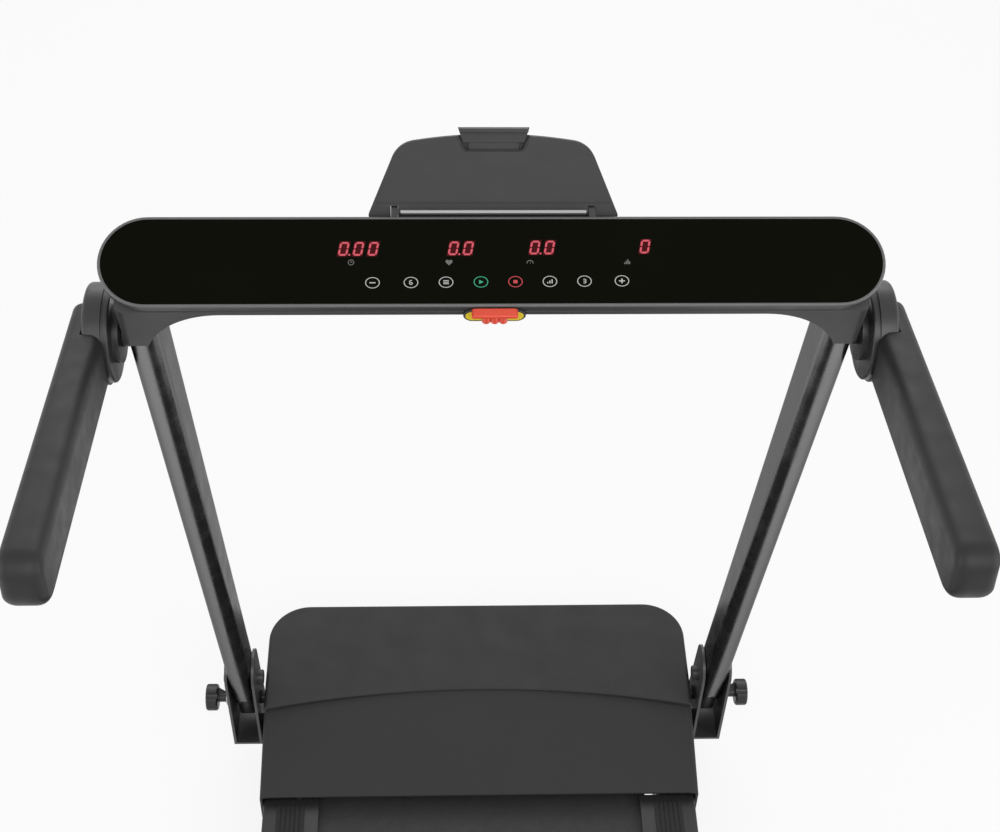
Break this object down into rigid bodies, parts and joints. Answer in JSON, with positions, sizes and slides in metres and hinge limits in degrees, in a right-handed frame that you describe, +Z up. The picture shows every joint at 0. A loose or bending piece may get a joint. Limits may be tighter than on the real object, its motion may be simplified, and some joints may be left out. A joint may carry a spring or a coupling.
{
  "type": "folding treadmill",
  "caption": "Slim home treadmill with a running belt, leaning fold-down mast, glass touch console, folding soft handles, tablet flap, safety key and clamping knobs.",
  "frame": {"origin": "on the floor below the middle of the machine's bounding box", "axes": "+X to the user's right, +Y toward the motor end, +Z up"},
  "size_m": [0.7612, 1.4, 1.1548],
  "materials": {
    "frame_paint": "black powder coat",
    "upright_paint": "dark grey satin powder coat",
    "cover_plastic": "dark grey fine-grained plastic",
    "chassis_plastic": "dark grey satin plastic",
    "console_glass": "black back-printed glass",
    "circuit": "green circuit board",
    "steel": "bright steel",
    "black_steel": "black oxide",
    "motor_paint": "black motor enamel",
    "flywheel_iron": "turned cast iron",
    "heat_sink": "mill-finish aluminium",
    "rail_aluminium": "black anodised aluminium",
    "belt_rubber": "black textured belt",
    "rubber": "black rubber",
    "grip_foam": "soft dark grey grip",
    "board_wood": "waxed fibreboard",
    "hub_plastic": "dark grey glass-filled plastic",
    "knob_plastic": "black plastic",
    "key_red": "red plastic",
    "socket_yellow": "yellow plastic",
    "switch_black": "black plastic",
    "rocker_red": "red plastic"
  },
  "bodies": {
    "base": {"frame_rail_left": "frame_paint", "frame_rail_right": "frame_paint", "frame_crossmembers": "frame_paint", "upright_yoke_left": "upright_paint", "upright_yoke_right": "upright_paint", "mast_pivot_bolts": "steel", "deck_board": "board_wood", "deck_cushions": "rubber", "running_belt": "belt_rubber", "roller_axles": "steel", "roller_bearings": "steel", "roller_brackets": "frame_paint", "tension_bolts": "black_steel", "foot_rail_left": "rail_aluminium", "foot_rail_right": "rail_aluminium", "foot_grips": "rubber", "rear_caps": "cover_plastic", "rubber_feet": "rubber", "motor_cover": "cover_plastic", "cover_screws": "black_steel", "motor_bay_floor": "frame_paint", "wheel_axles": "steel", "motor_can": "motor_paint", "motor_saddle": "frame_paint", "motor_controller": "heat_sink", "drive_belt": "belt_rubber", "power_panel": "frame_paint", "power_inlet": "switch_black", "switch_housing": "switch_black", "breaker_body": "switch_black"},
    "front_roller": {"front_roller": "steel", "roller_pulley": "heat_sink"},
    "rear_roller": {"rear_roller": "steel"},
    "motor_rotor": {"motor_shaft": "steel", "motor_pulley": "steel", "flywheel": "flywheel_iron"},
    "wheel_left": {"transport_wheel_left": "rubber"},
    "wheel_right": {"transport_wheel_right": "rubber"},
    "knob_left": {"lock_knob_left": "knob_plastic"},
    "knob_right": {"lock_knob_right": "knob_plastic"},
    "rocker": {"power_rocker": "rocker_red"},
    "breaker_button": {"breaker_button": "switch_black"},
    "mast": {"upright_left": "upright_paint", "upright_right": "upright_paint", "upright_plugs": "black_steel", "console_chassis": "chassis_plastic", "console_glass": "console_glass", "display_board": "circuit", "console_under_cover": "chassis_plastic", "console_screws": "black_steel", "key_socket": "socket_yellow", "handle_pivot_bolts": "black_steel", "tablet_hinge_pins": "steel"},
    "handle_left": {"handle_arm_left": "hub_plastic", "handle_grip_left": "grip_foam"},
    "handle_right": {"handle_arm_right": "hub_plastic", "handle_grip_right": "grip_foam"},
    "tablet_holder": {"tablet_plate": "chassis_plastic"},
    "tablet_clip": {"tablet_clip": "chassis_plastic"},
    "safety_key": {"safety_key": "key_red"}
  },
  "joints": [
    {"name": "mast_fold", "type": "hinge", "parent": "base", "child": "mast", "pos_m": [0, 0.565, 0.17], "axis": [1, 0, 0], "range_deg": [0, 77]},
    {"name": "handle_left_fold", "type": "hinge", "parent": "mast", "child": "handle_left", "pos_m": [-0.35, 0.38009, 0.97093], "axis": [1, 0, 0], "range_deg": [0, 111.9]},
    {"name": "handle_right_fold", "type": "hinge", "parent": "mast", "child": "handle_right", "pos_m": [0.35, 0.38009, 0.97093], "axis": [1, 0, 0], "range_deg": [0, 111.9]},
    {"name": "tablet_fold", "type": "hinge", "parent": "mast", "child": "tablet_holder", "pos_m": [0, 0.41377, 1.08543], "axis": [-1, 0, 0], "range_deg": [0, 125]},
    {"name": "clip_slide", "type": "slide", "parent": "tablet_holder", "child": "tablet_clip", "axis": [0, 0.4695, 0.8829], "range_m": [0, 0.022], "stiffness_N_per_m": 150},
    {"name": "safety_key_pull", "type": "slide", "parent": "mast", "child": "safety_key", "axis": [0, -0.9744, -0.225], "range_m": [0, 0.014]},
    {"name": "knob_left_turn", "type": "hinge", "parent": "base", "child": "knob_left", "pos_m": [-0.35, 0.58075, 0.10179], "axis": [-1, 0, 0], "range_deg": [0, 900]},
    {"name": "knob_right_turn", "type": "hinge", "parent": "base", "child": "knob_right", "pos_m": [0.35, 0.58075, 0.10179], "axis": [1, 0, 0], "range_deg": [0, 900]},
    {"name": "front_roller_spin", "type": "hinge", "parent": "base", "child": "front_roller", "pos_m": [0, 0.455, 0.068], "axis": [1, 0, 0], "continuous": true},
    {"name": "rear_roller_spin", "type": "hinge", "parent": "base", "child": "rear_roller", "pos_m": [0, -0.655, 0.068], "axis": [1, 0, 0], "continuous": true},
    {"name": "motor_spin", "type": "hinge", "parent": "base", "child": "motor_rotor", "pos_m": [-0.1, 0.622, 0.096], "axis": [1, 0, 0], "continuous": true},
    {"name": "wheel_left_spin", "type": "hinge", "parent": "base", "child": "wheel_left", "pos_m": [-0.213, 0.6215, 0.02], "axis": [1, 0, 0], "continuous": true},
    {"name": "wheel_right_spin", "type": "hinge", "parent": "base", "child": "wheel_right", "pos_m": [0.213, 0.6215, 0.02], "axis": [1, 0, 0], "continuous": true},
    {"name": "rocker_tip", "type": "hinge", "parent": "base", "child": "rocker", "pos_m": [0.148, 0.6905, 0.076], "axis": [1, 0, 0], "range_deg": [0, 18]},
    {"name": "breaker_push", "type": "slide", "parent": "base", "child": "breaker_button", "axis": [0, -1, 0], "range_m": [0, 0.003], "stiffness_N_per_m": 300}
  ],
  "couplings": [
    {"joint": "rear_roller_spin", "follows": "front_roller_spin", "ratio": 1},
    {"joint": "motor_spin", "follows": "front_roller_spin", "ratio": 2.6667}
  ]
}
